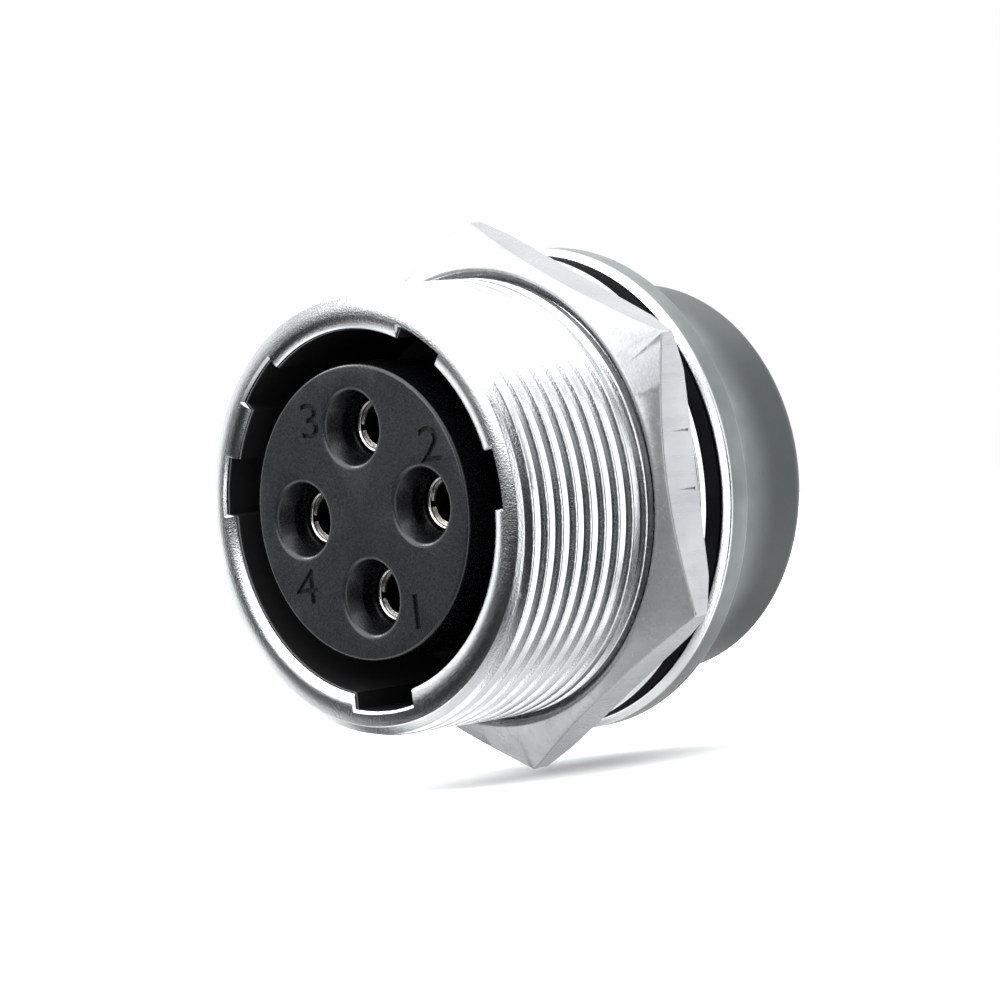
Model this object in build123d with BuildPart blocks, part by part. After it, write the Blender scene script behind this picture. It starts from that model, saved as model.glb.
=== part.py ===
from build123d import *
import os
from math import cos, pi, radians, sin, tan

# Waterproof panel socket: a plated metal shell that passes through a panel
# hole from behind, a hexagon nut and a flat washer in front of the panel, a
# rubber gasket behind it, and a moulded contact block with four sockets.
#
# Frame: millimetres, +Z up, the connector's axis along Y, the mating face
# towards -Y. The origin is on the axis, in the plane of the flange's front
# face. Angles are seen from the mating side, 0 at +X and 90 at +Z.
#
# The radii build up from the contacts outwards, so a change of one size moves
# everything round it. As set, the thread comes out at M22 x 1.

# Clearances
slip_gap = 0.05
thread_gap = 0.05
face_gap = 0.05
seal_gap = 0.015

# Contacts: the socket for the plug's pin, its collar and its solder cup
contact_count = 4
contact_pitch_r = 4.15
contact_recess = 2.0
pin_d = 2.0
pin_depth = 8.0
socket_wall = 0.25
slot_w = 0.3
slot_l = 5.5
collar_step = 0.35
collar_l = 2.0
cup_bore_d = 1.9
cup_wall = 0.35
cup_l = 4.0
cup_cut_l = 2.5
cup_stand = 3.4

# Spring hoods on the contact sockets
hood_gap = 0.02
hood_wall = 0.13
hood_l = 6.0
hood_lip = 0.2
hood_mouth_gap = 0.17

# Contact block: boss, dished holes, collar and its key in the web
hole_dish = 0.45
hole_dish_angle = 56.0
boss_margin = 1.22
boss_recess = 0.12
boss_round = 0.25
block_step = 1.5
block_t = 3.0
key_w = 1.9
key_h = 0.65
key_end_gap = 0.1
ring_groove_w = 1.2
ring_section = 0.92

# Shell: barrel, rim, mating bore and keyways
mating_gap = 1.66
barrel_wall = 2.07
barrel_l = 13.15
bore_depth = 9.55
rim_chamfer = 0.6
lip_w = 0.7
lip_drop = 0.2
keyway_stop = 1.95
master_key_angle = -90.0
master_key_w = 4.0
master_key_rise = 0.8
minor_key_w = 2.9
minor_key_rise = 0.62
minor_key_steps = (95.0, 146.0, 221.0, 257.0)

# Thread on the barrel and in the nut
thread_pitch = 1.0
thread_depth = 0.45
thread_crest = 0.44
thread_root = 0.04
first_groove = 1.13
thread_runout = 1.5

# Shell: flange, web and rear skirt
flange_lip = 1.25
flange_t = 1.65
flange_front_r = 0.3
flange_front_l = 0.6
flange_back_chamfer = 0.2
web_t = 1.6
skirt_wall = 1.23
skirt_tail = 1.65
skirt_round = 0.8
skirt_lip = 0.25

# Panel gasket, flat washer and nut
gasket_inset = 0.35
gasket_t = 1.2
washer_inset = 0.25
washer_t = 0.5
nut_wall = 0.95
nut_t = 2.5
nut_corner_angle = 90.0
nut_sink = 0.3
nut_land = 0.15
nut_front_slope = 27.0
nut_back_step = 1.0
nut_back_slope = 30.0

# Seals and the parts behind the block
face_seal_t = 1.2
wafer_t = 1.0
rear_block_t = 3.6
rear_hub_h = 2.0
thrust_t = 0.5
thrust_gap = 0.4
clip_t = 0.9
clip_groove_depth = 0.55
clip_groove_play = 0.05
clip_width = 1.2
clip_opening = 44.0
clip_lug_w = 1.9
clip_lug_h = 1.0
clip_lug_gap = 0.2
clip_lug_bore_d = 0.8

# Radii, from the contacts outwards
pin_r = pin_d / 2
socket_r = pin_r + socket_wall
hood_inner_r = socket_r + hood_gap
hood_outer_r = hood_inner_r + hood_wall
hood_mouth_r = pin_r + hood_mouth_gap
hole_r = hood_outer_r + slip_gap
collar_r = hole_r + collar_step
collar_seat_r = collar_r + slip_gap
cup_bore_r = cup_bore_d / 2
shank_r = cup_bore_r + cup_wall
shank_seat_r = shank_r + slip_gap
boss_r = contact_pitch_r + hole_r + hole_dish + boss_margin
web_hole_r = boss_r + slip_gap
block_r = boss_r + block_step
skirt_bore_r = block_r + slip_gap
skirt_r = skirt_bore_r + skirt_wall
ring_centre_r = skirt_bore_r - ring_section / 2 - seal_gap
ring_groove_r = ring_centre_r - ring_section / 2 - seal_gap
clip_groove_r = skirt_bore_r + clip_groove_depth
clip_outer_r = clip_groove_r - slip_gap
clip_inner_r = clip_outer_r - clip_width
lug_inner_r = clip_inner_r - clip_lug_h
rear_hub_r = lug_inner_r - clip_lug_gap
thrust_bore_r = rear_hub_r + thrust_gap
bore_r = boss_r + mating_gap
thread_r = bore_r + barrel_wall
nut_bore_r = thread_r + thread_gap
nut_flat_r = nut_bore_r + nut_wall
nut_corner_r = nut_flat_r / cos(pi / 6)
flange_r = thread_r + flange_lip
gasket_r = flange_r - gasket_inset
washer_r = flange_r - washer_inset

# Places along the axis, from the panel seat forwards and from the web back
rim_y = -barrel_l
gasket_y = -gasket_t
washer_back_y = gasket_y - face_gap
washer_front_y = washer_back_y - washer_t
nut_back_y = washer_front_y - face_gap
nut_front_y = nut_back_y - nut_t
web_front_y = rim_y + bore_depth
web_back_y = web_front_y + web_t
boss_y = rim_y + boss_recess
block_back_y = web_back_y + block_t
ring_groove_y = (web_back_y + block_back_y) / 2
tip_y = boss_y + contact_recess
collar_front_y = block_back_y - collar_l
wafer_back_y = block_back_y + wafer_t
rear_block_y = wafer_back_y + rear_block_t
rear_hub_y = rear_block_y + rear_hub_h
cup_end_y = rear_hub_y + cup_stand
thrust_y = rear_block_y + thrust_t
clip_y = thrust_y + clip_t
skirt_end_y = clip_y + skirt_tail
contact_angles = [master_key_angle + i * 360.0 / contact_count for i in range(contact_count)]

os.makedirs("parts", exist_ok=True)


def across(y):
    """Plane across the axis at y, seen from the mating side: local x is X and local y is Z."""
    return Plane.XZ.offset(-y)


def finish(part, name):
    part.label = name
    export_step(part, f"parts/{name}.step")


def centres(angles, radius):
    return [(radius * cos(radians(a)), radius * sin(radians(a))) for a in angles]


# Shell: one casting, turned and threaded
with BuildPart() as shell:
    lip_round = (lip_w**2 + lip_drop**2) / 2 / lip_drop
    round_y = skirt_end_y - skirt_round
    with BuildSketch(Plane.XY):
        with BuildLine():
            Polyline(
                (skirt_r, round_y),
                (skirt_r, flange_t),
                (flange_r - flange_back_chamfer, flange_t),
                (flange_r, flange_t - flange_back_chamfer),
                (flange_r, flange_front_l),
                (flange_r - flange_front_r, 0),
                (thread_r, 0),
                (thread_r, rim_y + rim_chamfer),
                (thread_r - rim_chamfer, rim_y),
                (bore_r + lip_w, rim_y),
            )
            RadiusArc((bore_r + lip_w, rim_y), (bore_r, rim_y + lip_drop), lip_round)
            Polyline(
                (bore_r, rim_y + lip_drop),
                (bore_r, web_front_y),
                (web_hole_r, web_front_y),
                (web_hole_r, web_back_y),
                (skirt_bore_r, web_back_y),
                (skirt_bore_r, thrust_y),
                (clip_groove_r, thrust_y),
                (clip_groove_r, clip_y + clip_groove_play),
                (skirt_bore_r, clip_y + clip_groove_play),
                (skirt_bore_r, skirt_end_y - skirt_lip),
                (skirt_bore_r + skirt_lip, skirt_end_y),
                (skirt_r - skirt_round, skirt_end_y),
            )
            RadiusArc((skirt_r - skirt_round, skirt_end_y), (skirt_r, round_y), skirt_round)
        make_face()
    revolve(axis=Axis.Y)
    # the thread's grooves, as rings at its pitch
    groove_mouth = thread_pitch - thread_crest
    groove_flare = (groove_mouth - thread_root) / 2 / thread_depth
    groove_over = thread_pitch / 10
    groove_count = int((barrel_l - first_groove - gasket_t - thread_runout / 2) / thread_pitch) + 1
    with BuildSketch(Plane.XY):
        for i in range(groove_count):
            groove_y = rim_y + first_groove + i * thread_pitch
            mouth_half = groove_mouth / 2 + groove_over * groove_flare
            with BuildLine():
                Polyline(
                    (thread_r + groove_over, groove_y - mouth_half),
                    (thread_r - thread_depth, groove_y - thread_root / 2),
                    (thread_r - thread_depth, groove_y + thread_root / 2),
                    (thread_r + groove_over, groove_y + mouth_half),
                    close=True,
                )
            make_face()
    revolve(axis=Axis.Y, mode=Mode.SUBTRACT)
    # the five keyways: a wide master at the bottom and four narrow ones
    for steps, width, rise in (
        ((0,), master_key_w, master_key_rise),
        (minor_key_steps, minor_key_w, minor_key_rise),
    ):
        with BuildSketch(across(rim_y)):
            for step in steps:
                with PolarLocations(thread_r / 2, 1, start_angle=master_key_angle + step):
                    Rectangle(thread_r, width)
            Circle(bore_r + rise, mode=Mode.INTERSECT)
        extrude(amount=keyway_stop - bore_depth, mode=Mode.SUBTRACT)
    # the notch in the web that keys the contact block
    with BuildSketch(across(web_front_y)):
        with PolarLocations((boss_r + key_h + slip_gap) / 2, 1, start_angle=master_key_angle):
            Rectangle(boss_r + key_h + slip_gap, key_w + 2 * slip_gap)
    extrude(amount=-web_t, mode=Mode.SUBTRACT)
finish(shell.part, "shell")

# Panel gasket, drawn on over the barrel against the flange
with BuildPart() as gasket:
    with BuildSketch(across(0)):
        Circle(gasket_r)
        Circle(thread_r + seal_gap, mode=Mode.SUBTRACT)
    extrude(amount=gasket_t)
finish(gasket.part, "panel_gasket")

# Flat washer under the nut
with BuildPart() as washer:
    with BuildSketch(across(washer_back_y)):
        Circle(washer_r)
        Circle(nut_bore_r, mode=Mode.SUBTRACT)
    extrude(amount=washer_t)
finish(washer.part, "flat_washer")

# Panel nut: a hexagon whose corners are turned back in a cone on both faces
with BuildPart() as nut:
    front_flat_r = nut_bore_r + nut_sink + nut_land
    nut_back_r = nut_flat_r + nut_back_step
    front_drop = (nut_corner_r - front_flat_r) * tan(radians(nut_front_slope))
    back_drop = (nut_corner_r - nut_back_r) * tan(radians(nut_back_slope))
    with BuildSketch(across(nut_back_y)):
        RegularPolygon(nut_corner_r, 6, rotation=nut_corner_angle)
    extrude(amount=nut_t)
    with BuildSketch(Plane.XY):
        with BuildLine():
            Polyline(
                (nut_bore_r + nut_sink, nut_front_y),
                (front_flat_r, nut_front_y),
                (nut_corner_r, nut_front_y + front_drop),
                (nut_corner_r, nut_back_y - back_drop),
                (nut_back_r, nut_back_y),
                (nut_bore_r + nut_sink, nut_back_y),
                (nut_bore_r, nut_back_y - nut_sink),
                (nut_bore_r, nut_front_y + nut_sink),
                close=True,
            )
        make_face()
    revolve(axis=Axis.Y, mode=Mode.INTERSECT)
finish(nut.part, "panel_nut")

# Contact block: the round boss in the mating bore and a collar behind the web
with BuildPart() as front_block:
    with BuildSketch(Plane.XY):
        with BuildLine():
            Polyline(
                (boss_r, boss_y + boss_round),
                (boss_r, web_back_y),
                (block_r, web_back_y),
                (block_r, ring_groove_y - ring_groove_w / 2),
                (ring_groove_r, ring_groove_y - ring_groove_w / 2),
                (ring_groove_r, ring_groove_y + ring_groove_w / 2),
                (block_r, ring_groove_y + ring_groove_w / 2),
                (block_r, block_back_y),
                (0, block_back_y),
                (0, boss_y),
                (boss_r - boss_round, boss_y),
            )
            RadiusArc((boss_r - boss_round, boss_y), (boss_r, boss_y + boss_round), boss_round)
        make_face()
    revolve(axis=Axis.Y)
    with BuildSketch(across(web_back_y)):
        with PolarLocations((boss_r + key_h) / 2, 1, start_angle=master_key_angle):
            Rectangle(boss_r + key_h, key_w)
    extrude(amount=web_t - key_end_gap)
    with Locations(*[across(boss_y) * Location(c) for c in centres(contact_angles, contact_pitch_r)]):
        CounterSinkHole(hole_r, hole_r + hole_dish, block_back_y - boss_y, hole_dish_angle)
    with BuildSketch(across(block_back_y)):
        with Locations(*centres(contact_angles, contact_pitch_r)):
            Circle(collar_seat_r)
    extrude(amount=collar_l, mode=Mode.SUBTRACT)
finish(front_block.part, "contact_block")

# Rubber ring at the foot of the mating gap
with BuildPart() as face_seal:
    with BuildSketch(across(web_front_y)):
        Circle(bore_r - slip_gap)
        Circle(web_hole_r, mode=Mode.SUBTRACT)
    extrude(amount=face_seal_t)
finish(face_seal.part, "face_seal")

# Round ring between the block's collar and the skirt's bore
with BuildPart() as block_ring:
    with BuildSketch(Plane.XY):
        with Locations((ring_centre_r, ring_groove_y)):
            Circle(ring_section / 2)
    revolve(axis=Axis.Y)
finish(block_ring.part, "block_o_ring")

# Contacts: turned sockets, slotted in front, with solder cups behind
for i, (x, z) in enumerate(centres(contact_angles, contact_pitch_r), start=1):
    with BuildPart() as contact:
        for radius, front_y, back_y in (
            (socket_r, tip_y, collar_front_y),
            (collar_r, collar_front_y, block_back_y),
            (shank_r, block_back_y, cup_end_y),
        ):
            with BuildSketch(across(back_y)):
                with Locations((x, z)):
                    Circle(radius)
            extrude(amount=back_y - front_y)
        with BuildSketch(across(tip_y)):
            with Locations((x, z)):
                Circle(pin_r)
        extrude(amount=-pin_depth, mode=Mode.SUBTRACT)
        with BuildSketch(across(tip_y)):
            with Locations((x, z)):
                Rectangle(4 * socket_r, slot_w)
                Rectangle(slot_w, 4 * socket_r)
                Circle(hood_inner_r, mode=Mode.INTERSECT)
        extrude(amount=-slot_l, mode=Mode.SUBTRACT)
        with BuildSketch(across(cup_end_y)):
            with Locations((x, z)):
                Circle(cup_bore_r)
        extrude(amount=cup_l, mode=Mode.SUBTRACT)
        # the cup's outer half is cut away so that a wire can be laid in
        outward = Plane(origin=(x, cup_end_y - cup_cut_l / 2, z), x_dir=(0, 1, 0), z_dir=(x, 0, z))
        with BuildSketch(outward):
            Rectangle(cup_cut_l, 2 * shank_r)
        extrude(amount=shank_r, mode=Mode.SUBTRACT)
    finish(contact.part, f"contact_{i}")

    # Thin spring hood over the slotted end
    with BuildPart() as hood:
        with BuildSketch(across(tip_y)):
            with Locations((x, z)):
                Circle(hood_outer_r)
                Circle(hood_inner_r, mode=Mode.SUBTRACT)
        extrude(amount=-hood_l)
        with BuildSketch(across(tip_y - hood_gap)):
            with Locations((x, z)):
                Circle(hood_outer_r)
                Circle(hood_mouth_r, mode=Mode.SUBTRACT)
        extrude(amount=hood_lip)
        with BuildSketch(across(tip_y)):
            with Locations((x, z)):
                Circle(hood_outer_r)
                Circle(hood_inner_r, mode=Mode.SUBTRACT)
        extrude(amount=hood_gap)
    finish(hood.part, f"contact_hood_{i}")

# Rubber wafer that seals round the contacts' shanks
with BuildPart() as wafer:
    with BuildSketch(across(wafer_back_y)):
        Circle(block_r)
        with Locations(*centres(contact_angles, contact_pitch_r)):
            Circle(shank_r + seal_gap, mode=Mode.SUBTRACT)
    extrude(amount=wafer_t)
finish(wafer.part, "wafer_seal")

# Rear block: a disc with a hub that stands inside the clip
with BuildPart() as rear_block:
    with BuildSketch(across(rear_block_y)):
        Circle(block_r)
    extrude(amount=rear_block_t)
    with BuildSketch(across(rear_hub_y)):
        Circle(rear_hub_r)
    extrude(amount=rear_hub_h)
    with BuildSketch(across(rear_hub_y)):
        with Locations(*centres(contact_angles, contact_pitch_r)):
            Circle(shank_seat_r)
    extrude(amount=rear_hub_h + rear_block_t, mode=Mode.SUBTRACT)
finish(rear_block.part, "rear_block")

# Thrust washer between the rear block and the clip
with BuildPart() as thrust_washer:
    with BuildSketch(across(thrust_y)):
        Circle(block_r)
        Circle(thrust_bore_r, mode=Mode.SUBTRACT)
    extrude(amount=thrust_t)
finish(thrust_washer.part, "thrust_washer")

# Clip: an open spring ring with two drilled lugs, sprung into the skirt's groove
with BuildPart() as clip:
    ring_mid_r = clip_outer_r - clip_width / 2
    lug_mid_r = (lug_inner_r + clip_outer_r) / 2
    lug_angles = [90 - clip_opening / 2, 90 + clip_opening / 2]
    with BuildSketch(across(clip_y)):
        Circle(clip_outer_r)
        Circle(clip_inner_r, mode=Mode.SUBTRACT)
        for lug_angle in lug_angles:
            with PolarLocations((lug_inner_r + ring_mid_r) / 2, 1, start_angle=lug_angle):
                Rectangle(ring_mid_r - lug_inner_r, clip_lug_w)
        opening_r = clip_outer_r * 2
        inner_half = clip_opening / 2 - clip_lug_w / 2 / lug_mid_r * 180 / pi
        with BuildLine():
            Polyline(
                (0, 0),
                (opening_r * sin(radians(inner_half)), opening_r * cos(radians(inner_half))),
                (-opening_r * sin(radians(inner_half)), opening_r * cos(radians(inner_half))),
                close=True,
            )
        make_face(mode=Mode.SUBTRACT)
        with Locations(*centres(lug_angles, lug_inner_r + clip_lug_bore_d)):
            Circle(clip_lug_bore_d / 2, mode=Mode.SUBTRACT)
    extrude(amount=clip_t)
finish(clip.part, "retaining_clip")
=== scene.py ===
from math import asin, cos, pi, radians, sin, tan

import bmesh
import bpy
from mathutils import Matrix, Vector


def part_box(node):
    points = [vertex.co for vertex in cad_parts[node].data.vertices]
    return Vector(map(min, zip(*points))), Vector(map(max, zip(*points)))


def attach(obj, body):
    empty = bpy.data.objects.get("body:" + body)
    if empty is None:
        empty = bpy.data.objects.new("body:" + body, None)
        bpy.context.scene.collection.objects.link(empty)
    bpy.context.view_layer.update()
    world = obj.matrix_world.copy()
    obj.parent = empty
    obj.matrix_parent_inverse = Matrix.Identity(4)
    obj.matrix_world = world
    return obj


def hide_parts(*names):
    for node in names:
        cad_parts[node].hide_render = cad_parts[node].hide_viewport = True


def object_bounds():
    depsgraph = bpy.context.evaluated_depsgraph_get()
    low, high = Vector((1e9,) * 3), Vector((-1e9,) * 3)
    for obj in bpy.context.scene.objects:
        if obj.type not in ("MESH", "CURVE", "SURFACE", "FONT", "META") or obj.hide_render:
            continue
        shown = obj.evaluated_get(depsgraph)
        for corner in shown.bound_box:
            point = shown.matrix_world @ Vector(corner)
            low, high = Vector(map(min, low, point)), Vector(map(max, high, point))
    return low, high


# Waterproof panel socket. Lengths in the dictionaries are millimetres.
# The axis is Y, the mating face looks towards -Y, and angles are seen from
# there: 0 at +X and 90 at +Z.

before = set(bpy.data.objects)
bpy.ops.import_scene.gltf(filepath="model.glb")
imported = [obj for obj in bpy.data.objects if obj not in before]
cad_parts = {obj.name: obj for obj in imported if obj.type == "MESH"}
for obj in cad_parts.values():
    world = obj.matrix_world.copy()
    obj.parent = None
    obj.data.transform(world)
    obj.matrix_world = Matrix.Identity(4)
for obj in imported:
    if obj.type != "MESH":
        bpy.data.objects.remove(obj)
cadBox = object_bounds()
mm = 0.001
roundSteps = 192  # steps in a full turn


def span(node):
    low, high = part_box(node)
    return low / mm, high / mm


# Turning, cutting and rounding

def arc(centre, radius, start, end, count=6):
    angles = [radians(start + (end - start) * i / count) for i in range(count + 1)]
    return [(centre[0] + radius * cos(a), centre[1] + radius * sin(a)) for a in angles]


def newPiece(name, bm):
    mesh = bpy.data.meshes.new(name)
    bm.to_mesh(mesh)
    bm.free()
    piece = bpy.data.objects.new(name, mesh)
    bpy.context.scene.collection.objects.link(piece)
    return piece


def turned(outline, closed=True, steps=roundSteps):
    # outline: (radius, y) points, spun once round the axis
    bm = bmesh.new()
    verts = [bm.verts.new((r * mm, y * mm, 0)) for r, y in outline]
    ends = verts[1:] + verts[:1] if closed else verts[1:]
    edges = [bm.edges.new(pair) for pair in zip(verts, ends)]
    bmesh.ops.spin(bm, geom=verts + edges, cent=(0, 0, 0), axis=(0, 1, 0), dvec=(0, 0, 0),
                   angle=2 * pi, steps=steps, use_merge=True)
    bmesh.ops.remove_doubles(bm, verts=bm.verts, dist=1e-7)
    bmesh.ops.recalc_face_normals(bm, faces=bm.faces)
    return bm


def cutWith(piece, tools, operation="DIFFERENCE"):
    for tool in tools:
        cut = piece.modifiers.new("cut", "BOOLEAN")
        cut.operation, cut.solver, cut.object = operation, "EXACT", tool
    bpy.context.view_layer.update()
    evaluated = piece.evaluated_get(bpy.context.evaluated_depsgraph_get())
    shape = bpy.data.meshes.new_from_object(evaluated)
    piece.modifiers.clear()
    piece.data = shape
    for tool in tools:
        bpy.data.objects.remove(tool)


def softenEdges(bm, width, fromAngle=25, segments=2):
    sharp = [e for e in bm.edges if len(e.link_faces) == 2 and e.calc_face_angle() > radians(fromAngle)]
    bmesh.ops.bevel(bm, geom=sharp, offset=width * mm, affect="EDGES", segments=segments, profile=0.5,
                    material=-1, clamp_overlap=True)


def softenedCopy(name, node, width):
    bm = bmesh.new()
    bm.from_mesh(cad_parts[node].data)
    bmesh.ops.remove_doubles(bm, verts=bm.verts, dist=1e-6)
    bmesh.ops.dissolve_limit(bm, angle_limit=radians(1), verts=bm.verts, edges=bm.edges)
    softenEdges(bm, width)
    return newPiece(name, bm)


def turnShape(bm, degrees, axis="Y"):
    bmesh.ops.rotate(bm, verts=bm.verts, cent=(0, 0, 0), matrix=Matrix.Rotation(radians(degrees), 3, axis))


def atAngle(fromAxis, angle, y=0):
    return Vector((fromAxis * cos(radians(angle)), y, fromAxis * sin(radians(angle)))) * mm


def threadTool(sectionPoints, firstAngle, firstY, lastY, pitch, fadeIn, fadeOut, depth):
    # a coil of the groove's section, right-handed, fading away radially at both ends
    steps = round((lastY - firstY) / pitch * roundSteps)
    bm = bmesh.new()
    verts = [bm.verts.new((r * mm, (firstY + y) * mm, 0)) for r, y in sectionPoints]
    edges = [bm.edges.new(pair) for pair in zip(verts, verts[1:] + verts[:1])]
    bmesh.ops.spin(bm, geom=verts + edges, cent=(0, 0, 0), axis=(0, 1, 0),
                   dvec=(0, pitch * mm / roundSteps, 0), angle=2 * pi * steps / roundSteps, steps=steps)
    bm.verts.index_update()
    count = len(sectionPoints)
    for vert in bm.verts:
        turn = vert.index // count / roundSteps
        fade = min(1, turn / fadeIn, (steps / roundSteps - turn) / fadeOut)
        outward = Vector((vert.co.x, 0, vert.co.z)).normalized()
        vert.co += outward * depth * mm * (1 - fade)
    bmesh.ops.holes_fill(bm, edges=bm.edges, sides=0)
    turnShape(bm, -firstAngle)
    bmesh.ops.recalc_face_normals(bm, faces=bm.faces)
    return newPiece("threadTool", bm)


def grooveSection(crestR, side, thread):
    # the cut between two crests; side is 1 on a rod and -1 in a bore
    half, rootHalf, depth = thread["mouthHalf"], thread["rootHalf"], thread["depth"]
    ease = thread["crestEase"]
    flank = [
        (thread["over"], half + ease + 0.03),
        (0, half + ease),
        (-0.012, half + ease * 0.5),
        (-0.045, half),
        (-0.11, half - 0.045),
        (-depth + 0.04, rootHalf + 0.025),
        (-depth, rootHalf),
    ]
    front = [(crestR + side * r, y) for r, y in flank]
    return front + [(r, -y) for r, y in reversed(front)]


# Shell

shellSize = {
    "threadR": 11.0,
    "boreR": 8.93,
    "lipWidth": 0.7,
    "lipDrop": 0.2,
    "crownR": 9.75,
    "crownDrop": 0.09,
    "rimChamfer": 0.6,
    "rimRound": 0.12,
    "webFrontY": -3.6,
    "webBackY": -2.0,
    "webHoleR": 7.32,
    "flangeFrontR": 0.3,
    "flangeFrontL": 0.3,
    "flangeT": 1.65,
    "flangeEdgeR": 0.1,
    "flangeShoulderR": 0.12,
    "flangeRound": 0.2,
    "skirtRootR": 0.15,
    "skirtR": 10.05,
    "skirtBoreR": 8.82,
    "skirtRound": 0.8,
    "skirtLip": 0.25,
    "clipGrooveR": 9.37,
    "clipGrooveY": (6.1, 7.05),
}
keyways = {
    "backY": -5.55,
    "flare": 0.12,
    "over": 0.3,  # how far the cut starts before the rim
    "rootR": 6.0,
    "ways": [  # angle, width, floor radius
        (-90, 4.0, 9.73),
        (5, 2.9, 9.55),
        (56, 2.9, 9.55),
        (131, 2.9, 9.55),
        (167, 2.9, 9.55),
    ],
}
barrelThread = {
    "pitch": 1.0,
    "depth": 0.45,
    "mouthHalf": 0.25,
    "rootHalf": 0.02,
    "crestEase": 0.07,
    "over": 0.2,  # how far the cutting section stands past the crests
    "startAngle": 225,
    "startFromRim": -0.2,
    "endY": -0.8,
    "fadeIn": 0.1,
    "fadeOut": 0.3,
}


def shellOutline():
    s = shellSize
    low, high = span("shell")
    rimY, endY, flangeR = low.y, high.y, high.x
    lipCurve = (s["lipWidth"] ** 2 + s["lipDrop"] ** 2) / 2 / s["lipDrop"]
    lipTurn = asin(s["lipWidth"] / lipCurve) * 180 / pi
    crownHalf = s["threadR"] - s["rimChamfer"] - s["crownR"]
    crownCurve = (crownHalf ** 2 + s["crownDrop"] ** 2) / 2 / s["crownDrop"]
    crownTurn = asin(crownHalf / crownCurve) * 180 / pi
    lipR = s["boreR"] + s["lipWidth"]
    rimR = s["threadR"] - s["rimChamfer"]
    ease = s["rimRound"]
    edgeR, shoulderR, rootR = s["flangeEdgeR"], s["flangeShoulderR"], s["skirtRootR"]
    points = [(s["boreR"], s["webFrontY"]), (s["boreR"], rimY + s["lipDrop"] + 0.08)]
    points += arc((lipR, rimY + lipCurve), lipCurve, -90 - lipTurn + 3, -90, 8)
    points += arc((s["crownR"], rimY + crownCurve), crownCurve, -90, -90 + crownTurn * 0.8, 5)
    points += arc((rimR + 0.02, rimY + s["crownDrop"] + ease), ease, -78, -48, 3)
    points += arc((s["threadR"] - ease, rimY + s["rimChamfer"] + 0.04), ease, -42, 0, 4)
    points += [(s["threadR"], 0)]
    points += arc((flangeR - s["flangeFrontR"] - 0.04, edgeR), edgeR, -90, -48, 3)
    points += arc((flangeR - shoulderR, s["flangeFrontL"] + 0.05), shoulderR, -42, 0, 3)
    points += arc((flangeR - s["flangeRound"], s["flangeT"] - s["flangeRound"]), s["flangeRound"], 0, 90)
    points += arc((s["skirtR"] + rootR, s["flangeT"] + rootR), rootR, -90, -180, 4)
    points += arc((s["skirtR"] - s["skirtRound"], endY - s["skirtRound"]), s["skirtRound"], 0, 90, 12)
    points += arc((s["skirtBoreR"] + s["skirtLip"], endY - s["skirtLip"]), s["skirtLip"], 90, 180, 5)
    grooveFront, grooveBack = s["clipGrooveY"]
    points += [(s["skirtBoreR"], grooveBack), (s["clipGrooveR"], grooveBack)]
    points += [(s["clipGrooveR"], grooveFront), (s["skirtBoreR"], grooveFront)]
    points += [(s["skirtBoreR"], s["webBackY"])]
    points += [(s["webHoleR"], s["webBackY"]), (s["webHoleR"], s["webFrontY"])]
    return points


def keywayTool(angle, width, floorR):
    frontY = span("shell")[0].y - keyways["over"]
    depth = keyways["backY"] - frontY
    bm = bmesh.new()
    bmesh.ops.create_cone(bm, cap_ends=True, segments=roundSteps, radius1=floorR * mm, radius2=floorR * mm,
                          depth=depth * mm, matrix=Matrix.Rotation(pi / 2, 4, "X"))
    bmesh.ops.translate(bm, verts=bm.verts, vec=(0, (frontY + depth / 2) * mm, 0))
    for spot, direction in (((width / 2, 0, 0), (1, 0, 0)), ((-width / 2, 0, 0), (-1, 0, 0)),
                            ((0, 0, keyways["rootR"]), (0, 0, -1))):
        everything = bm.verts[:] + bm.edges[:] + bm.faces[:]
        bmesh.ops.bisect_plane(bm, geom=everything, plane_co=Vector(spot) * mm, plane_no=direction,
                               clear_outer=True)
        bmesh.ops.holes_fill(bm, edges=bm.edges, sides=0)
    # the way's mouth opens out by 45 degrees just behind the rim
    flareY = frontY + keyways["over"] + keyways["flare"]
    widening = (flareY - frontY) * mm
    everything = bm.verts[:] + bm.edges[:] + bm.faces[:]
    bmesh.ops.bisect_plane(bm, geom=everything, plane_co=(0, flareY * mm, 0), plane_no=(0, 1, 0))
    for vert in bm.verts:
        if vert.co.y < (frontY + 0.01) * mm:
            vert.co.x += widening if vert.co.x > 0 else -widening
            vert.co.z += widening
    turnShape(bm, 90 - angle)
    bmesh.ops.recalc_face_normals(bm, faces=bm.faces)
    return newPiece("keywayTool", bm)


def makeShell():
    shell = newPiece("threaded_shell", turned(shellOutline()))
    rimY = span("shell")[0].y
    t = barrelThread
    section = grooveSection(shellSize["threadR"], 1, t)
    tools = [threadTool(section, t["startAngle"], rimY + t["startFromRim"], t["endY"], t["pitch"],
                        t["fadeIn"], t["fadeOut"], t["depth"])]
    tools += [keywayTool(*way) for way in keyways["ways"]]
    cutWith(shell, tools)
    print("shell made")
    return shell


# Nut

nutSize = {
    "flatsR": 12.0,
    "boreR": 11.05,
    "boreSink": 0.3,
    "frontLand": 0.15,
    "frontSlope": 27,
    "backR": 13.0,
    "backSlope": 30,
    "cornerEase": 0.15,
    "edgeEase": 0.07,
    "threadCrestR": 10.8,
    "threadMouthHalf": 0.39,
    "threadRootHalf": 0.1,
    "threadOver": 1.2,
    "over": 0.2,
    "roundedFromR": 11.4,
    "markSpots": (2.1, -0.75),
    "markSize": (0.08, 1.3),
    "markBehindMiddle": 0.35,
}


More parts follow.
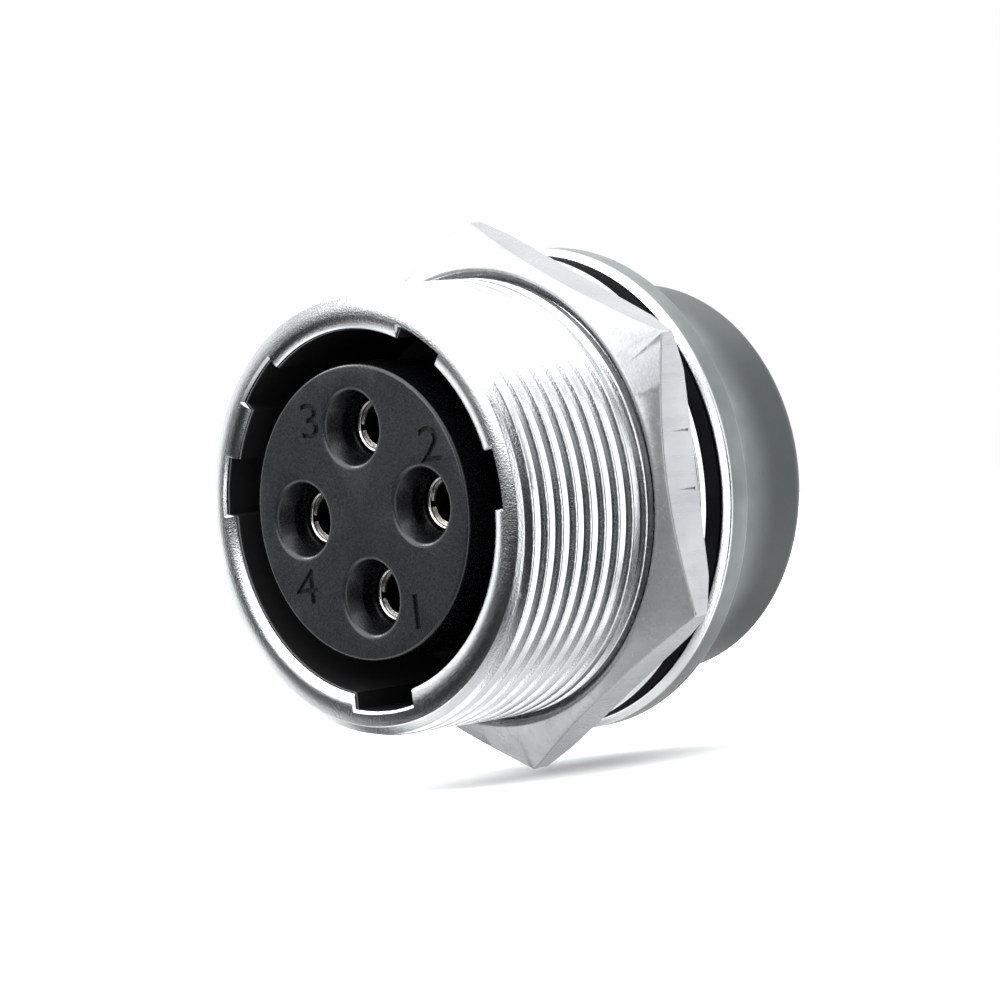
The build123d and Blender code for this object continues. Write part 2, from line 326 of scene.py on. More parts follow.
def nutMarkTool(height):
    # a short shallow nick across one flat
    depth, length = nutSize["markSize"]
    low, high = span("panel_nut")
    bm = bmesh.new()
    bmesh.ops.create_cone(bm, cap_ends=True, segments=4, radius1=depth * 1.6 * mm, radius2=depth * 0.6 * mm,
                          depth=length * mm, matrix=Matrix.Rotation(pi / 2, 4, "X"))
    markY = (low.y + high.y) / 2 + nutSize["markBehindMiddle"]
    place = Vector((nutSize["flatsR"] + depth * 0.6, markY, height))
    bmesh.ops.translate(bm, verts=bm.verts, vec=place * mm)
    return newPiece("nutMarkTool", bm)


def makeNut():
    n = nutSize
    low, high = span("panel_nut")
    frontY, backY = low.y, high.y
    cornerR = n["flatsR"] / cos(pi / 6)
    sinkR = n["boreR"] + n["boreSink"]
    landR = sinkR + n["frontLand"]
    outerR = cornerR + n["over"]
    bm = bmesh.new()
    bmesh.ops.create_cone(bm, cap_ends=True, segments=6, radius1=cornerR * mm, radius2=cornerR * mm,
                          depth=(backY - frontY + 1) * mm)
    turnShape(bm, 90, "X")
    highest = max(bm.verts, key=lambda v: v.co.z)
    if abs(highest.co.x) > 0.5 * mm:  # a flat is on top: bring a corner there
        turnShape(bm, 30)
    bmesh.ops.translate(bm, verts=bm.verts, vec=(0, (frontY + backY) / 2 * mm, 0))
    corners = [e for e in bm.edges if abs(e.verts[0].co.y - e.verts[1].co.y) > 1 * mm]
    bmesh.ops.bevel(bm, geom=corners, offset=n["cornerEase"] * mm, affect="EDGES", segments=4, profile=0.5,
                    material=-1)
    bmesh.ops.recalc_face_normals(bm, faces=bm.faces)
    hexagon = newPiece("hexagonTool", bm)
    outline = [
        (sinkR, frontY),
        (landR, frontY),
        (outerR, frontY + (outerR - landR) * tan(radians(n["frontSlope"]))),
        (outerR, backY - (outerR - n["backR"]) * tan(radians(n["backSlope"]))),
        (n["backR"], backY),
        (sinkR, backY),
        (n["threadCrestR"], backY - sinkR + n["threadCrestR"]),
        (n["threadCrestR"], frontY + sinkR - n["threadCrestR"]),
    ]
    nut = newPiece("hex_nut", turned(outline))
    cutWith(nut, [hexagon], "INTERSECT")
    bm = bmesh.new()
    bm.from_mesh(nut.data)
    bmesh.ops.remove_doubles(bm, verts=bm.verts, dist=1e-6)
    bmesh.ops.dissolve_limit(bm, angle_limit=radians(0.5), verts=bm.verts, edges=bm.edges)
    outer = [e for e in bm.edges if len(e.link_faces) == 2 and e.calc_face_angle() > radians(14)
             and min(Vector((v.co.x, v.co.z)).length for v in e.verts) > n["roundedFromR"] * mm]
    bmesh.ops.bevel(bm, geom=outer, offset=n["edgeEase"] * mm, affect="EDGES", segments=2, profile=0.5,
                    material=-1, clamp_overlap=True)
    bm.to_mesh(nut.data)
    bm.free()
    cutWith(nut, [nutMarkTool(spot) for spot in n["markSpots"]])
    # the bore's own thread, on the barrel's pitch
    t = dict(barrelThread, mouthHalf=n["threadMouthHalf"], rootHalf=n["threadRootHalf"])
    section = grooveSection(n["threadCrestR"], -1, t)
    startY, endY = frontY - n["threadOver"], backY + n["threadOver"]
    barrelStartY = span("shell")[0].y + t["startFromRim"]
    startAngle = t["startAngle"] + 360 * ((barrelStartY - startY) / t["pitch"] + 0.5)
    cutWith(nut, [threadTool(section, startAngle, startY, endY, t["pitch"], 0.01, 0.01, 0)])
    print("nut made")
    return nut


# Washer, gasket and seals

ringPieces = [  # piece, node, bore radius, edge rounding, finish, body
    ("bright_washer", "flat_washer", 11.05, 0.08, "washer_steel", "washer"),
    ("rubber_gasket", "panel_gasket", 11.02, 0.22, "gasket_rubber", "socket"),
    ("gap_seal", "face_seal", 7.32, 0.2, "seal_rubber", "socket"),
]


def ring(name, node, innerR, ease):
    low, high = span(node)
    outerR, frontY, backY = high.x, low.y, high.y
    points = arc((innerR + ease, frontY + ease), ease, 180, 270, 4)
    points += arc((outerR - ease, frontY + ease), ease, -90, 0, 4)
    points += arc((outerR - ease, backY - ease), ease, 0, 90, 4)
    points += arc((innerR + ease, backY - ease), ease, 90, 180, 4)
    return newPiece(name, turned(points))


# Contact block

blockSize = {
    "bossR": 7.27,
    "bossRound": 0.2,
    "blockR": 8.77,
    "webBackY": -2.0,
    "ringGrooveR": 7.87,
    "ringGrooveY": (-1.1, 0.1),
    "keyWidth": 1.9,
    "keyHeight": 2.0,
    "keySink": 0.4,  # how far the key reaches into the block's shoulder
    "keyR": 7.92,
    "keyY": (-3.5, -2.0),
    "pitchR": 4.15,
    "holeR": 1.45,
    "dish": 0.45,
    "dishSlope": 62,
    "mouthEase": 0.3,
    "footEase": 0.12,
    "collarR": 1.85,
    "collarY": -1.0,
    "angles": (-90, 0, 90, 180),
}
numerals = {
    "height": 1.8,
    "widen": 1.35,
    "depth": 0.12,
    "over": 0.3,
    "figureShare": 0.73,  # a figure's height in its font's size
    "places": [(-60, 5.95), (28, 5.9), (121, 5.45), (218, 5.55)],  # angle and distance from the axis
}


def blockHoleTool(angle, frontY, backY):
    b = blockSize
    over = 0.5
    dishR, slope, mouth, foot = b["holeR"] + b["dish"], b["dishSlope"], b["mouthEase"], b["footEase"]
    dishDepth = b["dish"] * tan(radians(slope))
    mouthR = dishR + mouth * tan(radians(slope / 2))
    footY = frontY + dishDepth + foot * tan(radians((90 - slope) / 2))
    points = [(0, frontY - over), (mouthR + 0.2, frontY - over), (mouthR + 0.2, frontY - 0.001)]
    points += arc((mouthR, frontY + mouth), mouth, -90, -90 - slope, 5)
    points += arc((b["holeR"] + foot, footY), foot, -90 - slope, -180, 4)
    points += [(b["holeR"], b["collarY"]), (b["collarR"], b["collarY"])]
    points += [(b["collarR"], backY + over), (0, backY + over)]
    bm = turned(points, closed=False, steps=64)
    bmesh.ops.translate(bm, verts=bm.verts, vec=atAngle(b["pitchR"], angle))
    return newPiece("holeTool", bm)


def makeBlock():
    b = blockSize
    low, high = span("contact_block")
    frontY, backY = low.y, high.y
    grooveFront, grooveBack = b["ringGrooveY"]
    points = [(0, frontY)]
    points += arc((b["bossR"] - b["bossRound"], frontY + b["bossRound"]), b["bossRound"], -90, 0, 6)
    points += [(b["bossR"], b["webBackY"]), (b["blockR"], b["webBackY"]), (b["blockR"], grooveFront)]
    points += [(b["ringGrooveR"], grooveFront), (b["ringGrooveR"], grooveBack), (b["blockR"], grooveBack)]
    points += [(b["blockR"], backY), (0, backY)]
    block = newPiece("insulator", turned(points, closed=False, steps=128))
    tools = [blockHoleTool(angle, frontY, backY) for angle in b["angles"]]
    tools += [numeralTool(number, frontY) for number in range(1, len(b["angles"]) + 1)]
    cutWith(block, tools)
    bm = bmesh.new()
    keyFront, keyBack = b["keyY"]
    keyBack += b["keySink"]
    bmesh.ops.create_cube(bm, size=mm)
    bmesh.ops.scale(bm, verts=bm.verts, vec=(b["keyWidth"], keyBack - keyFront, b["keyHeight"]))
    place = Vector((0, (keyFront + keyBack) / 2, b["keyHeight"] / 2 - b["keyR"]))
    bmesh.ops.translate(bm, verts=bm.verts, vec=place * mm)
    softenEdges(bm, 0.1)
    key = newPiece("keyTool", bm)
    cutWith(block, [key], "UNION")
    print("contact block made")
    return block


def numeralTool(number, faceY):
    # a raised figure standing through the face, for cutting it in
    over = numerals["over"]
    curve = bpy.data.curves.new(f"figure_{number}", "FONT")
    curve.body = str(number)
    curve.align_x, curve.align_y = "CENTER", "CENTER"
    curve.size = numerals["height"] / numerals["figureShare"] * mm
    curve.extrude = (numerals["depth"] + over) / 2 * mm
    writing = bpy.data.objects.new("writing", curve)
    bpy.context.scene.collection.objects.link(writing)
    bpy.context.view_layer.update()
    bm = bmesh.new()
    shape = bpy.data.meshes.new_from_object(writing.evaluated_get(bpy.context.evaluated_depsgraph_get()))
    bm.from_mesh(shape)
    bpy.data.objects.remove(writing)
    bmesh.ops.remove_doubles(bm, verts=bm.verts, dist=1e-7)
    bmesh.ops.scale(bm, verts=bm.verts, vec=(numerals["widen"], 1, 1))
    turnShape(bm, 90, "X")
    angle, fromAxis = numerals["places"][number - 1]
    middleY = faceY + (numerals["depth"] - over) / 2
    bmesh.ops.translate(bm, verts=bm.verts, vec=atAngle(fromAxis, angle, middleY))
    bmesh.ops.recalc_face_normals(bm, faces=bm.faces)
    return newPiece("numeralTool", bm)


# Contacts

hoodSize = {"outerR": 1.4, "innerR": 1.27, "mouthR": 1.17, "lip": 0.2, "lipR": 0.07, "roll": 0.14}


def makeHood(index, angle):
    h = hoodSize
    low, high = span(f"contact_hood_{index}")
    frontY, backY = low.y, high.y
    lipR, roll = h["lipR"], h["roll"]
    lipBackY = frontY + h["lip"] + 0.02
    points = [(h["innerR"], backY), (h["innerR"], lipBackY), (h["mouthR"], lipBackY)]
    points += arc((h["mouthR"] + lipR, frontY + lipR + 0.02), lipR, 180, 262, 4)
    points += arc((h["outerR"] - roll, frontY + roll), roll, -84, 0, 6)
    points += [(h["outerR"], backY)]
    bm = turned(points, steps=64)
    bmesh.ops.translate(bm, verts=bm.verts, vec=atAngle(blockSize["pitchR"], angle))
    return newPiece(f"spring_hood_{index}", bm)


# Finishes

def addNode(tree, kind, values=None, **settings):
    node = tree.nodes.new(kind)
    for key, value in settings.items():
        setattr(node, key, value)
    for key, value in (values or {}).items():
        if isinstance(value, bpy.types.NodeSocket):
            tree.links.new(value, node.inputs[key])
        else:
            node.inputs[key].default_value = value
    return node


def mathNode(tree, operation, *values):
    return addNode(tree, "ShaderNodeMath", dict(enumerate(values)), operation=operation).outputs[0]


def newGroup(name, inputs, outputs):
    group = bpy.data.node_groups.new(name, "ShaderNodeTree")
    for socketName, kind, value in inputs:
        socket = group.interface.new_socket(socketName, in_out="INPUT", socket_type=kind)
        if value is not None:
            socket.default_value = value
    for socketName, kind in outputs:
        group.interface.new_socket(socketName, in_out="OUTPUT", socket_type=kind)
    return group, group.nodes.new("NodeGroupInput"), group.nodes.new("NodeGroupOutput")


def fineGrainGroup():
    # even speckle and slow cloudiness, both 0 to 1
    group, source, result = newGroup(
        "fineGrain",
        [("Vector", "NodeSocketVector", None), ("Grain Size", "NodeSocketFloat", 0.1),
         ("Cloud Size", "NodeSocketFloat", 3.0)],
        [("Grain", "NodeSocketFloat"), ("Cloud", "NodeSocketFloat")])
    for target, detail, roughness in (("Grain", 3.0, 0.6), ("Cloud", 2.0, 0.5)):
        scale = mathNode(group, "DIVIDE", 1000.0, source.outputs[f"{target} Size"])
        noise = addNode(group, "ShaderNodeTexNoise", {"Vector": source.outputs["Vector"], "Scale": scale,
                                                      "Detail": detail, "Roughness": roughness})
        group.links.new(noise.outputs["Fac"], result.inputs[target])
    return group


def turningMarksGroup():
    # fine rings left by turning: by radius on faces, by place along the axis on sides
    group, source, result = newGroup(
        "turningMarks",
        [("Vector", "NodeSocketVector", None), ("Spacing", "NodeSocketFloat", 0.08)],
        [("Face Rings", "NodeSocketFloat"), ("Side Rings", "NodeSocketFloat"), ("Radius", "NodeSocketFloat"),
         ("Along", "NodeSocketFloat")])
    parts = addNode(group, "ShaderNodeSeparateXYZ", {"Vector": source.outputs["Vector"]})
    flat = addNode(group, "ShaderNodeCombineXYZ", {"X": parts.outputs["X"], "Z": parts.outputs["Z"]})
    radius = addNode(group, "ShaderNodeVectorMath", {0: flat.outputs[0]}, operation="LENGTH")
    rate = mathNode(group, "DIVIDE", 1000.0, source.outputs["Spacing"])
    for place, target in ((radius.outputs["Value"], "Face Rings"), (parts.outputs["Y"], "Side Rings")):
        rings = addNode(group, "ShaderNodeTexNoise", {"W": place, "Scale": rate, "Detail": 2.0,
                                                      "Roughness": 0.7}, noise_dimensions="1D")
        group.links.new(rings.outputs["Fac"], result.inputs[target])
    group.links.new(radius.outputs["Value"], result.inputs["Radius"])
    group.links.new(parts.outputs["Y"], result.inputs["Along"])
    return group


fineGrain = fineGrainGroup()
turningMarks = turningMarksGroup()


def startMaterial(name, roughness, metallic):
    material = bpy.data.materials.new(name)
    material.use_nodes = True
    tree = material.node_tree
    tree.nodes.clear()
    shader = addNode(tree, "ShaderNodeBsdfPrincipled", {"Roughness": roughness, "Metallic": metallic})
    output = tree.nodes.new("ShaderNodeOutputMaterial")
    tree.links.new(shader.outputs["BSDF"], output.inputs["Surface"])
    place = tree.nodes.new("ShaderNodeTexCoord").outputs["Object"]
    return material, tree, shader, place


def blendColours(tree, factor, first, second):
    mix = addNode(tree, "ShaderNodeMix", {"Factor": factor}, data_type="RGBA")
    for socket, value in ((mix.inputs[6], first), (mix.inputs[7], second)):
        if isinstance(value, bpy.types.NodeSocket):
            tree.links.new(value, socket)
        else:
            socket.default_value = (*value, 1)
    return mix.outputs[2]


def rescale(tree, value, fromLow, fromHigh, toLow, toHigh, smooth=False):
    node = addNode(tree, "ShaderNodeMapRange", {"Value": value, "From Min": fromLow, "From Max": fromHigh,
                                                "To Min": toLow, "To Max": toHigh})
    if smooth:
        node.interpolation_type = "SMOOTHSTEP"
    return node.outputs["Result"]


def bumpFrom(tree, height, distance, strength=1.0, normal=None):
    values = {"Height": height, "Distance": distance * mm, "Strength": strength}
    if normal is not None:
        values["Normal"] = normal
    return addNode(tree, "ShaderNodeBump", values).outputs["Normal"]


def speckled(tree, place, grain, cloud):
    speckle = addNode(tree, "ShaderNodeGroup", {}, node_tree=fineGrain)
    speckle.inputs["Grain Size"].default_value = grain
    speckle.inputs["Cloud Size"].default_value = cloud
    tree.links.new(place, speckle.inputs["Vector"])
    return speckle.outputs


def turnedRings(tree, place):
    rings = addNode(tree, "ShaderNodeGroup", {}, node_tree=turningMarks)
    tree.links.new(place, rings.inputs["Vector"])
    return rings.outputs


def cloudMask(tree, speckle):
    return rescale(tree, speckle["Cloud"], 0.35, 0.65, 0, 1)


def grainRoughness(tree, speckle, low, high):
    return rescale(tree, speckle["Grain"], 0.3, 0.7, low, high)


def ringBump(tree, shader, speckle, rings, ringStrength):
    first = bumpFrom(tree, speckle["Grain"], 0.01)
    both = mathNode(tree, "ADD", rings["Face Rings"], rings["Side Rings"])
    tree.links.new(bumpFrom(tree, both, 0.004, ringStrength, first), shader.inputs["Normal"])


def platedFinish(name, colour, shade, roughness):
    material, tree, shader, place = startMaterial(name, roughness, 1.0)
    speckle, rings = speckled(tree, place, 0.1, 2.5), turnedRings(tree, place)
    tree.links.new(blendColours(tree, cloudMask(tree, speckle), colour, shade), shader.inputs["Base Color"])
    rough = grainRoughness(tree, speckle, roughness * 0.75, roughness * 1.3)
    tree.links.new(rough, shader.inputs["Roughness"])
    ringBump(tree, shader, speckle, rings, 0.3)
    return material


shellFinish = {
    "bright": (0.66, 0.67, 0.67),
    "brightShade": (0.58, 0.59, 0.6),
    "roughness": 0.16,
    "dullFrom": (0.34, 0.5),  # the flange's edge and all behind it
    "skirtFrom": (1.5, 1.9),
    # painted shade: where the skirt's colour fades towards the rear colour
    "rearShadeTowards": (1.9, 6.5),
    "mottling": 0.35,
    "flangeEdge": (0.16, 0.175, 0.17),
    "skirtFront": (0.3, 0.325, 0.315),
    # the rear end of the painted shade, and the tint of the mottling
    "rearShadeAndMottle": (0.035, 0.042, 0.04),
    "dullRoughness": 0.42,
    "dullMetallic": 0.55,
    # painted shade for the bore and its ways
    "bore": (0.006, 0.006, 0.0065),
    "boreR": 9.9,
    "boreRoughness": 0.5,
    "boreBehindRim": (0.2, 0.35),
    "boreEnd": (-2.0, -1.9),
}


def platedShellFinish():
    f = shellFinish
    material, tree, shader, place = startMaterial("plated_shell", f["roughness"], 1.0)
    speckle, rings = speckled(tree, place, 0.09, 2.5), turnedRings(tree, place)
    cloud = cloudMask(tree, speckle)
    bright = blendColours(tree, cloud, f["bright"], f["brightShade"])
    along, radius = rings["Along"], rings["Radius"]

    def passed(places, **settings):
        return rescale(tree, along, places[0] * mm, places[1] * mm, 0, 1, **settings)

    # dull behind the flange's front, mottled, with painted shade deepening towards the rear
    shadedSkirt = blendColours(tree, passed(f["rearShadeTowards"], smooth=True), f["skirtFront"], f["rearShadeAndMottle"])
    dullBody = blendColours(tree, passed(f["skirtFrom"], smooth=True), f["flangeEdge"], shadedSkirt)
    mottled = blendColours(tree, mathNode(tree, "MULTIPLY", cloud, f["mottling"]), dullBody, f["rearShadeAndMottle"])
    dull = passed(f["dullFrom"], smooth=True)
    # painted shade: the bore and its ways are coloured near black behind the rim, for the shade inside them
    rimY = span("shell")[0].y
    behind = passed([rimY + distance for distance in f["boreBehindRim"]], smooth=True)
    within = rescale(tree, radius, f["boreR"] * mm, (f["boreR"] + 0.05) * mm, 1, 0)
    inside = rescale(tree, along, f["boreEnd"][0] * mm, f["boreEnd"][1] * mm, 1, 0)
    boreShade = mathNode(tree, "MULTIPLY", mathNode(tree, "MULTIPLY", behind, within), inside)
    body = blendColours(tree, boreShade, blendColours(tree, dull, bright, mottled), f["bore"])
    rough = grainRoughness(tree, speckle, f["roughness"] * 0.75, f["roughness"] * 1.3)
    rough = mathNode(tree, "MULTIPLY_ADD", dull, f["dullRoughness"] - f["roughness"], rough)
    rough = mathNode(tree, "MULTIPLY_ADD", boreShade, f["boreRoughness"] - f["roughness"], rough)
    metal = rescale(tree, dull, 0, 1, 1, f["dullMetallic"])
    metal = mathNode(tree, "MULTIPLY", metal, rescale(tree, boreShade, 0, 1, 1, 0))
    for value, socket in ((body, "Base Color"), (rough, "Roughness"), (metal, "Metallic")):
        tree.links.new(value, shader.inputs[socket])
    ringBump(tree, shader, speckle, rings, 0.5)
    return material


nutLook = {
    "colour": (0.33, 0.335, 0.34),
    "shade": (0.27, 0.275, 0.285),
    "roughness": (0.17, 0.32),
    "metallic": 0.6,
    "drawnScale": 2600.0,
    "drawnStretch": 0.06,
}


def nutFinish():
    # satin, with faint marks drawn along the axis
    look = nutLook
    material, tree, shader, place = startMaterial("satin_nut", 0.24, look["metallic"])
    speckle = speckled(tree, place, 0.12, 3.0)
    stretched = addNode(tree, "ShaderNodeMapping", {"Vector": place, "Scale": (1, look["drawnStretch"], 1)})
    noise = addNode(tree, "ShaderNodeTexNoise", {"Vector": stretched.outputs["Vector"], "Detail": 3.0,
                                                 "Scale": look["drawnScale"], "Roughness": 0.6})
    drawn = noise.outputs["Fac"]
    body = blendColours(tree, cloudMask(tree, speckle), look["colour"], look["shade"])
    tree.links.new(body, shader.inputs["Base Color"])
    tree.links.new(rescale(tree, drawn, 0.3, 0.7, *look["roughness"]), shader.inputs["Roughness"])
    first = bumpFrom(tree, speckle["Grain"], 0.006)
    tree.links.new(bumpFrom(tree, drawn, 0.006, 0.6, first), shader.inputs["Normal"])
    return material


def rubberFinish(name, colour):
    material, tree, shader, place = startMaterial(name, 0.75, 0.0)
    shader.inputs["Specular IOR Level"].default_value = 0.03
    speckle = speckled(tree, place, 0.15, 3.0)
    dusty = [c * 1.8 + 0.001 for c in colour]
    tree.links.new(blendColours(tree, rescale(tree, speckle["Cloud"], 0.4, 0.7, 0, 1), colour, dusty),
                   shader.inputs["Base Color"])
    tree.links.new(grainRoughness(tree, speckle, 0.65, 0.85), shader.inputs["Roughness"])
    tree.links.new(bumpFrom(tree, speckle["Grain"], 0.012), shader.inputs["Normal"])
    return material


mouldedLook = {
    "lighter": 1.3,
    # painted shade in the holes, figures and down the boss's side, as a share of the colour
    "recessShade": 0.3,
    "shadeFromFace": (0.06, 0.11),
    "shadeUntilWeb": 0.5,
    "specular": 0.4,
    "roughness": (0.2, 0.32),
}


def mouldedFinish(name, colour):
    # painted shade: the holes, the figures and the boss's side, between the front face and the web, take a
    # share of the face's colour
    look = mouldedLook
    material, tree, shader, place = startMaterial(name, 0.26, 0.0)
    shader.inputs["Specular IOR Level"].default_value = look["specular"]
    speckle, rings = speckled(tree, place, 0.12, 3.5), turnedRings(tree, place)
    faceY, webY = span("contact_block")[0].y, blockSize["webBackY"]
    shadeStart, shadeEnd = [(faceY + distance) * mm for distance in look["shadeFromFace"]]
    belowFace = rescale(tree, rings["Along"], shadeStart, shadeEnd, 0, 1)
    beforeWeb = rescale(tree, rings["Along"], (webY - look["shadeUntilWeb"]) * mm, webY * mm, 1, 0)
    shadedRecesses = mathNode(tree, "MULTIPLY", belowFace, beforeWeb)
    lighter = [c * look["lighter"] for c in colour]
    recessShade = [c * look["recessShade"] for c in colour]
    face = blendColours(tree, cloudMask(tree, speckle), colour, lighter)
    tree.links.new(blendColours(tree, shadedRecesses, face, recessShade), shader.inputs["Base Color"])
    tree.links.new(grainRoughness(tree, speckle, *look["roughness"]), shader.inputs["Roughness"])
    tree.links.new(bumpFrom(tree, speckle["Grain"], 0.008), shader.inputs["Normal"])
    return material


finishes = {
    "plated_shell": platedShellFinish(),
    "satin_nut": nutFinish(),
    "washer_steel": platedFinish("washer_steel", (0.72, 0.72, 0.71), (0.66, 0.66, 0.66), 0.2),
    "spring_steel": platedFinish("spring_steel", (0.5, 0.5, 0.49), (0.44, 0.44, 0.44), 0.12),
    "silvered_contact": platedFinish("silvered_contact", (0.5, 0.48, 0.44), (0.42, 0.4, 0.36), 0.14),
    "gasket_rubber": rubberFinish("gasket_rubber", (0.002, 0.002, 0.0024)),
    "seal_rubber": rubberFinish("seal_rubber", (0.006, 0.006, 0.0065)),
    "insert_plastic": mouldedFinish("insert_plastic", (0.0068, 0.0076, 0.0088)),
}
print("finishes made")


def dress(piece, slot, body, replaced=(), sharpAngle=32):
    piece.data.materials.clear()
    piece.data.materials.append(finishes[slot])
    piece.data.shade_smooth()
    piece.data.set_sharp_from_angle(angle=radians(sharpAngle))
    weighted = piece.modifiers.new("weighted", "WEIGHTED_NORMAL")
    weighted.keep_sharp = True
    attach(piece, body)
    if replaced:
        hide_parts(*replaced)
    return piece


dress(makeShell(), "plated_shell", "socket", ["shell"])
dress(makeNut(), "satin_nut", "nut", ["panel_nut"])
for name, node, innerR, ease, slot, body in ringPieces:
    dress(ring(name, node, innerR, ease), slot, body, [node])
print("rings made")
dress(makeBlock(), "insert_plastic", "socket", ["contact_block"])
for index, angle in enumerate(blockSize["angles"], start=1):
    dress(makeHood(index, angle), "spring_steel", "socket", [f"contact_hood_{index}"])
    dress(softenedCopy(f"pin_socket_{index}", f"contact_{index}", 0.03), "silvered_contact", "socket",
          [f"contact_{index}"])
print("contacts made")
rearParts = [  # piece, node, edge rounding, finish
    ("back_insulator", "rear_block", 0.1, "insert_plastic"),
    ("spring_clip", "retaining_clip", 0.05, "spring_steel"),
    ("thrust_ring", "thrust_washer", 0.05, "spring_steel"),
]
for name, node, ease, slot in rearParts:
    dress(softenedCopy(name, node, ease), slot, "socket", [node])
for node in ("block_o_ring", "wafer_seal"):
    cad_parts[node].data.materials.clear()
    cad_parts[node].data.materials.append(finishes["seal_rubber"])
print("rear parts made")


# Stage: floor, studio light and camera

stage = {
    "floorDrop": 0.1,
    "floorWidth": 3000,
    "floorColour": (0.93, 0.93, 0.93),
    "ambient": 0.03,
    "backdrop": 1.0,
    # centre azimuth, half width, centre elevation, half height, blur, strength;
    # azimuth 0 is towards -Y and 90 towards +X
    "panels": [
        (45, 155, 90, 53, 3, 3.2),
        (0, 200, 90, 40, 3, 3.2),
        (51, 14, -17, 46, 4, 2.3),
        (150, 24, -17, 46, 5, 2.3),
        (-143, 43, -37, 27, 5, 1.0),
        (103, 40, 26, 18, 8, 0.7),
        (130, 90, 33, 12, 5, 0.9),
        (-120, 62, 10, 40, 8, 1.6),
        (-112, 11, 8, 13, 4, 6),
        (-50, 30, 35, 27, 10, 0.7),
        (-68, 14, 38, 10, 5, 11),
        (0, 200, -90, 38, 14, 1.2),
        (-48, 28, -44, 14, 8, 2.3),
        (-24, 26, -38, 12, 8, 0.8),
        (10, 25, 0, 60, 10, 0.05),
        (-18, 25, 58, 50, 6, 5.0),
    ],
}
view = {"lens": 163.0, "sensor": 36.0, "distance": 220.0, "aside": 6.841, "above": 0.631,
        "azimuth": 43.92, "elevation": 0.0, "roll": 6.92}


def softPanelGroup():
    group, source, result = newGroup(
        "softPanel",
        [("Azimuth", "NodeSocketFloat", 0), ("Elevation", "NodeSocketFloat", 0),
         ("Centre", "NodeSocketFloat", 0), ("Half Width", "NodeSocketFloat", 30),
         ("Height", "NodeSocketFloat", 0), ("Half Height", "NodeSocketFloat", 30),
         ("Blur", "NodeSocketFloat", 10)],
        [("Mask", "NodeSocketFloat")])
    given = source.outputs

    def side(value, centre, half, wraps):
        offset = mathNode(group, "SUBTRACT", given[value], given[centre])
        if wraps:
            offset = mathNode(group, "WRAP", offset, 180.0, -180.0)
        inside = mathNode(group, "SUBTRACT", given[half], mathNode(group, "ABSOLUTE", offset))
        lowEnd = mathNode(group, "MULTIPLY", given["Blur"], -1.0)
        node = addNode(group, "ShaderNodeMapRange", {"Value": inside, "From Min": lowEnd,
                                                     "From Max": given["Blur"]})
        node.interpolation_type = "SMOOTHSTEP"
        return node.outputs["Result"]

    across = side("Azimuth", "Centre", "Half Width", True)
    upright = side("Elevation", "Height", "Half Height", False)
    group.links.new(mathNode(group, "MULTIPLY", across, upright), result.inputs["Mask"])
    return group


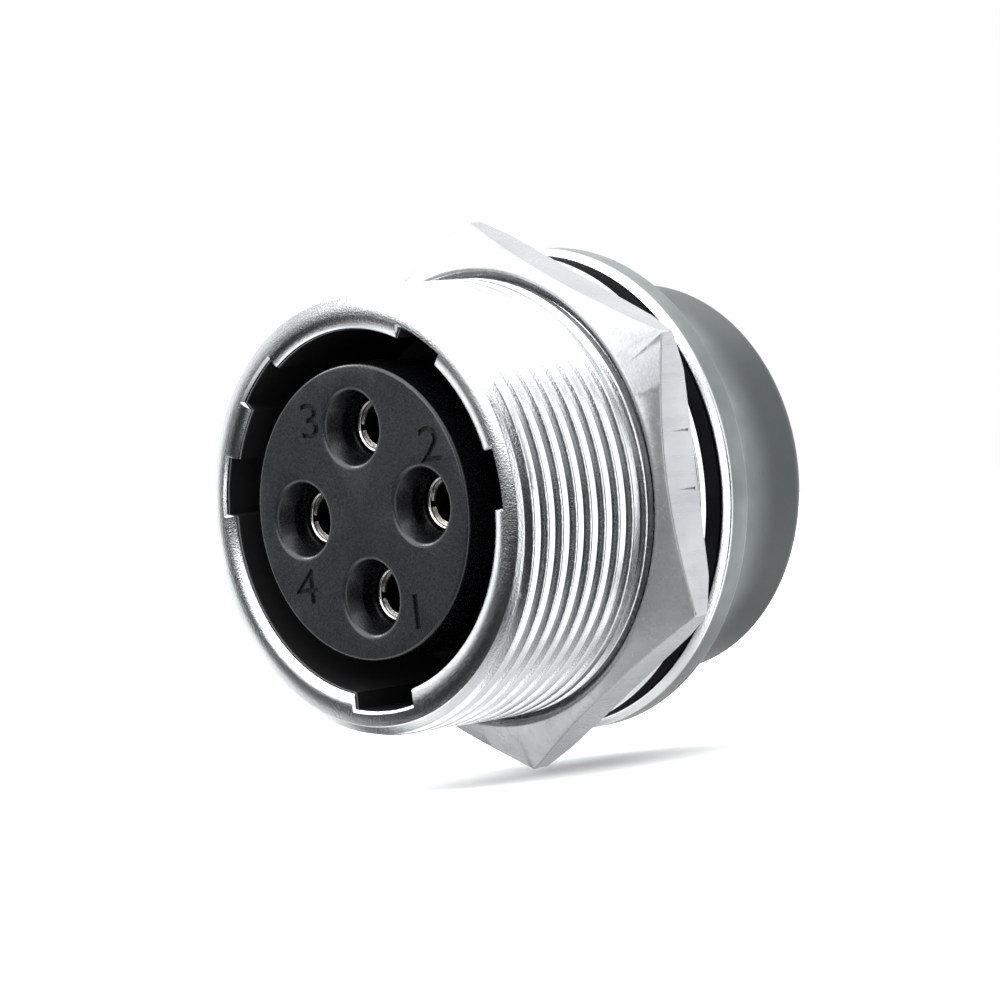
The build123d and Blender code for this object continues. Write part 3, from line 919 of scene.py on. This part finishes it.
def makeStudio():
    world = bpy.data.worlds.new("studio")
    bpy.context.scene.world = world
    world.use_nodes = True
    tree = world.node_tree
    tree.nodes.clear()
    looking = tree.nodes.new("ShaderNodeTexCoord").outputs["Generated"]
    direction = addNode(tree, "ShaderNodeSeparateXYZ", {0: looking}).outputs
    forward = mathNode(tree, "MULTIPLY", direction["Y"], -1.0)
    azimuth = mathNode(tree, "DEGREES", mathNode(tree, "ARCTAN2", direction["X"], forward))
    elevation = mathNode(tree, "DEGREES", mathNode(tree, "ARCSINE", direction["Z"]))
    panelGroup = softPanelGroup()
    level = stage["ambient"]
    for centre, halfWidth, height, halfHeight, blur, strength in stage["panels"]:
        panel = addNode(tree, "ShaderNodeGroup", {}, node_tree=panelGroup)
        tree.links.new(azimuth, panel.inputs["Azimuth"])
        tree.links.new(elevation, panel.inputs["Elevation"])
        for key, value in (("Centre", centre), ("Half Width", halfWidth), ("Height", height),
                           ("Half Height", halfHeight), ("Blur", blur)):
            panel.inputs[key].default_value = value
        lit = mathNode(tree, "MULTIPLY", panel.outputs["Mask"], strength)
        level = mathNode(tree, "MAXIMUM", lit, level)
    studio = addNode(tree, "ShaderNodeBackground", {"Color": (0.97, 0.99, 1, 1), "Strength": level})
    backdrop = addNode(tree, "ShaderNodeBackground", {"Color": (1, 1, 1, 1), "Strength": stage["backdrop"]})
    seen = tree.nodes.new("ShaderNodeLightPath").outputs["Is Camera Ray"]
    choice = addNode(tree, "ShaderNodeMixShader", {0: seen, 1: studio.outputs[0], 2: backdrop.outputs[0]})
    output = tree.nodes.new("ShaderNodeOutputWorld")
    tree.links.new(choice.outputs[0], output.inputs["Surface"])


def makeFloor():
    bm = bmesh.new()
    half = stage["floorWidth"] / 2 * mm
    bmesh.ops.create_grid(bm, x_segments=2, y_segments=2, size=half)
    bmesh.ops.translate(bm, verts=bm.verts, vec=(0, 0, cadBox[0].z - stage["floorDrop"] * mm))
    floor = newPiece("floor", bm)
    material, tree, shader, place = startMaterial("paleFloor", 0.9, 0.0)
    shader.inputs["Base Color"].default_value = (*stage["floorColour"], 1)
    floor.data.materials.append(material)
    floor.visible_glossy = False


def makeCamera():
    data = bpy.data.cameras.new("camera")
    data.lens, data.sensor_width = view["lens"], view["sensor"]
    data.clip_start, data.clip_end = 0.005, 10
    camera = bpy.data.objects.new("camera", data)
    bpy.context.scene.collection.objects.link(camera)
    a, e = radians(view["azimuth"]), radians(view["elevation"])
    back = Vector((sin(a) * cos(e), -cos(a) * cos(e), sin(e)))
    turn = (-back).to_track_quat("-Z", "Y").to_matrix() @ Matrix.Rotation(radians(-view["roll"]), 3, "Z")
    right, up = turn.col[0], turn.col[1]
    rimCentre = Vector((0, span("shell")[0].y, 0))
    spot = rimCentre + back * view["distance"] + right * view["aside"] + up * view["above"]
    camera.matrix_world = Matrix.Translation(spot * mm) @ turn.to_4x4()
    bpy.context.scene.camera = camera


makeStudio()
makeFloor()
makeCamera()
bpy.context.scene.view_settings.view_transform = "Standard"
print("stage made")
